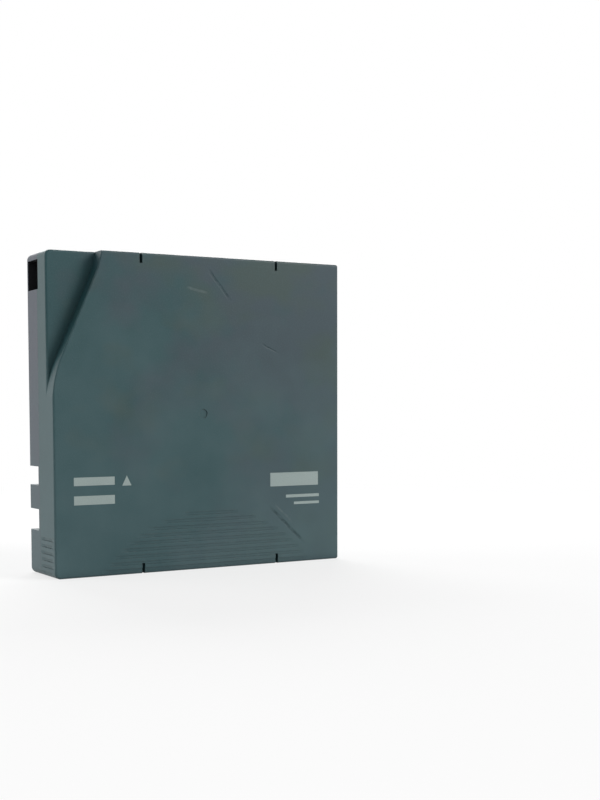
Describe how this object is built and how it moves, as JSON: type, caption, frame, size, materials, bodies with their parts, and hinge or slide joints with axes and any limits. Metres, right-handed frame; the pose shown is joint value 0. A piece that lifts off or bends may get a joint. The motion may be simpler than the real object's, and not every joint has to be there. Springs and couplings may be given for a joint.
{
  "type": "data tape cartridge",
  "caption": "Square flat cartridge holding a single reel of half-inch data tape, with a sliding side door, leader pin, reel brake and write-protect slider.",
  "frame": {"origin": "centre of the rear (label) edge face that it stands on, at mid thickness", "axes": "+Z the way the cartridge goes into a drive, +X towards the tape door side, +Y out of the bottom shell, so the top shell's large face looks along -Y"},
  "size_m": [0.1054, 0.0216, 0.102],
  "materials": {
    "case_plastic": "fine spark-eroded satin, dark grey green",
    "door_plastic": "satin moulded, dark grey green",
    "hub_plastic": "glass-filled moulded, pale grey",
    "flange_plastic": "moulded, pale smoke grey",
    "white_plastic": "natural acetal",
    "slider_plastic": "satin moulded, orange red",
    "clamp_plastic": "moulded, black",
    "tape": "smooth dark brown film",
    "screw_steel": "zinc-plated screws",
    "washer_steel": "stamped magnetic stainless plate",
    "pin_steel": "turned and polished",
    "spring_steel": "drawn spring wire and strip",
    "board": "thin circuit board",
    "chip": "black potted chip"
  },
  "bodies": {
    "case": {"top_shell": "case_plastic", "bottom_shell": "case_plastic", "case_screws": "screw_steel", "leader_pin": "pin_steel", "tape_clamp": "clamp_plastic", "leader_tape": "tape", "pin_spring_top": "spring_steel", "pin_spring_bottom": "spring_steel", "door_spring": "spring_steel", "brake_spring": "spring_steel", "memory_board": "board", "memory_chip": "chip"},
    "reel": {"reel_hub": "hub_plastic", "upper_flange": "flange_plastic", "drive_washer": "washer_steel", "tape_pack": "tape"},
    "door": {"slide_door": "door_plastic"},
    "brake": {"brake_button": "white_plastic"},
    "release": {"release_spider": "white_plastic"},
    "write_protect": {"write_protect_slider": "slider_plastic"}
  },
  "joints": [
    {"name": "reel_spin", "type": "hinge", "parent": "case", "child": "reel", "pos_m": [-0.0005, 0, 0.051], "axis": [0, 1, 0], "continuous": true},
    {"name": "door_slide", "type": "slide", "parent": "case", "child": "door", "axis": [0, 0, -1], "range_m": [0, 0.0182], "stiffness_N_per_m": 20, "springref_m": -0.008, "deforming": ["door_spring"]},
    {"name": "brake_lift", "type": "slide", "parent": "case", "child": "brake", "axis": [0, -1, 0], "range_m": [0, 0.0015], "stiffness_N_per_m": 900, "springref_m": -0.004, "deforming": ["brake_spring"]},
    {"name": "release_push", "type": "slide", "parent": "reel", "child": "release", "axis": [0, -1, 0], "range_m": [0, 0.0015]},
    {"name": "write_protect_slide", "type": "slide", "parent": "case", "child": "write_protect", "axis": [1, 0, 0], "range_m": [0, 0.0042]}
  ],
  "couplings": [
    {"joint": "release_push", "follows": "brake_lift", "ratio": 1}
  ]
}
